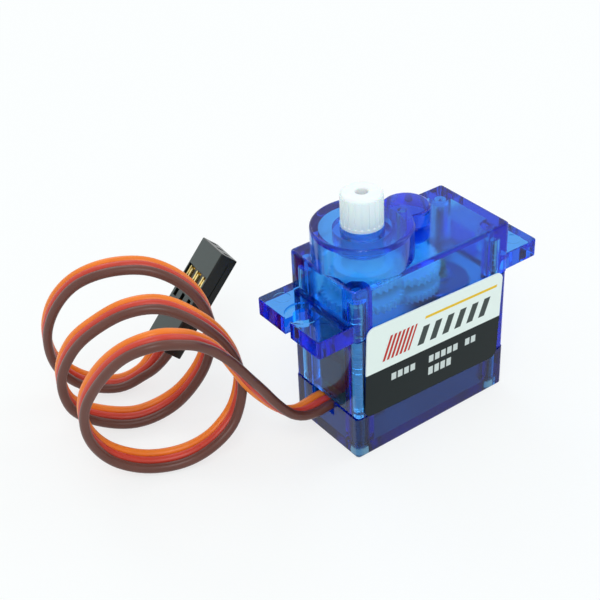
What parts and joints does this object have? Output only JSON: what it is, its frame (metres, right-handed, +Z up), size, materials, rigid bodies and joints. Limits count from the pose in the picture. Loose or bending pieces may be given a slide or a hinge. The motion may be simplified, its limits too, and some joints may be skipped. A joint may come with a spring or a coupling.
{
  "type": "hobby servo motor",
  "caption": "Micro continuous-rotation servo with clear case, splined shaft, mounting ears, gear train inside and a coiled three-wire lead with plug.",
  "frame": {"origin": "centre of the case's underside, on the standing surface", "axes": "+X along the case away from the output shaft, -Y out of the face with the sticker, +Z up along the output shaft"},
  "size_m": [0.0551, 0.0346, 0.0314],
  "materials": {
    "clear_blue": "clear tinted, polished",
    "label_film": "printed film, semi-gloss",
    "steel": "plain",
    "motor_steel": "zinc plated",
    "white_nylon": "satin",
    "brass": "machined",
    "copper_winding": "enamelled wire",
    "motor_cap_white": "moulded",
    "ferrite": "sintered",
    "wire_red": "satin",
    "wire_black": "satin",
    "board_green": "solder mask",
    "black_plastic": "moulded",
    "silver_can": "smooth",
    "trimmer_blue": "moulded",
    "trimmer_white": "moulded",
    "ribbon_orange": "satin, three colours side by side",
    "plug_black": "moulded",
    "gold_contact": "gold plated"
  },
  "bodies": {
    "case": {"bottom_cover": "clear_blue", "middle_case": "clear_blue", "top_case": "clear_blue", "side_label": "label_film", "case_screw_1": "steel", "case_screw_2": "steel", "case_screw_3": "steel", "case_screw_4": "steel", "gear_pin": "steel", "output_pin": "steel", "motor_can": "motor_steel", "motor_end_cap": "motor_cap_white", "motor_magnet_1": "ferrite", "motor_magnet_2": "ferrite", "motor_lead_red": "wire_red", "motor_lead_black": "wire_black", "control_board": "board_green", "logic_chip": "black_plastic", "driver_chip": "black_plastic", "capacitor": "silver_can", "trim_pot_body": "trimmer_blue", "lead_ribbon": "ribbon_orange", "plug_housing": "plug_black", "plug_contact_1": "gold_contact", "plug_contact_2": "gold_contact", "plug_contact_3": "gold_contact"},
    "rotor": {"motor_rotor": "copper_winding", "motor_pinion": "brass"},
    "first_gear": {"gear_1": "white_nylon"},
    "second_gear": {"gear_2": "white_nylon"},
    "third_gear": {"gear_3": "white_nylon"},
    "output": {"output_gear": "white_nylon"},
    "trimmer": {"trim_pot_rotor": "trimmer_white"}
  },
  "joints": [
    {"name": "motor_spin", "type": "hinge", "parent": "case", "child": "rotor", "pos_m": [0.00515, 0, 0.017], "axis": [0, 0, 1], "continuous": true},
    {"name": "gear_1_spin", "type": "hinge", "parent": "case", "child": "first_gear", "pos_m": [0.00015, 0, 0.018], "axis": [0, 0, 1], "continuous": true},
    {"name": "gear_2_spin", "type": "hinge", "parent": "case", "child": "second_gear", "pos_m": [-0.0056, 0, 0.019], "axis": [0, 0, 1], "continuous": true},
    {"name": "gear_3_spin", "type": "hinge", "parent": "case", "child": "third_gear", "pos_m": [0.00015, 0, 0.0205], "axis": [0, 0, 1], "continuous": true},
    {"name": "output_spin", "type": "hinge", "parent": "case", "child": "output", "pos_m": [-0.0056, 0, 0.021], "axis": [0, 0, 1], "continuous": true},
    {"name": "trim_turn", "type": "hinge", "parent": "case", "child": "trimmer", "pos_m": [-0.0065, 0, 0.0015], "axis": [0, 0, 1], "range_deg": [-120, 120]}
  ],
  "couplings": [
    {"joint": "gear_1_spin", "follows": "motor_spin", "ratio": -0.25},
    {"joint": "gear_2_spin", "follows": "motor_spin", "ratio": 0.088235},
    {"joint": "gear_3_spin", "follows": "motor_spin", "ratio": -0.038603},
    {"joint": "output_spin", "follows": "motor_spin", "ratio": 0.020588}
  ]
}
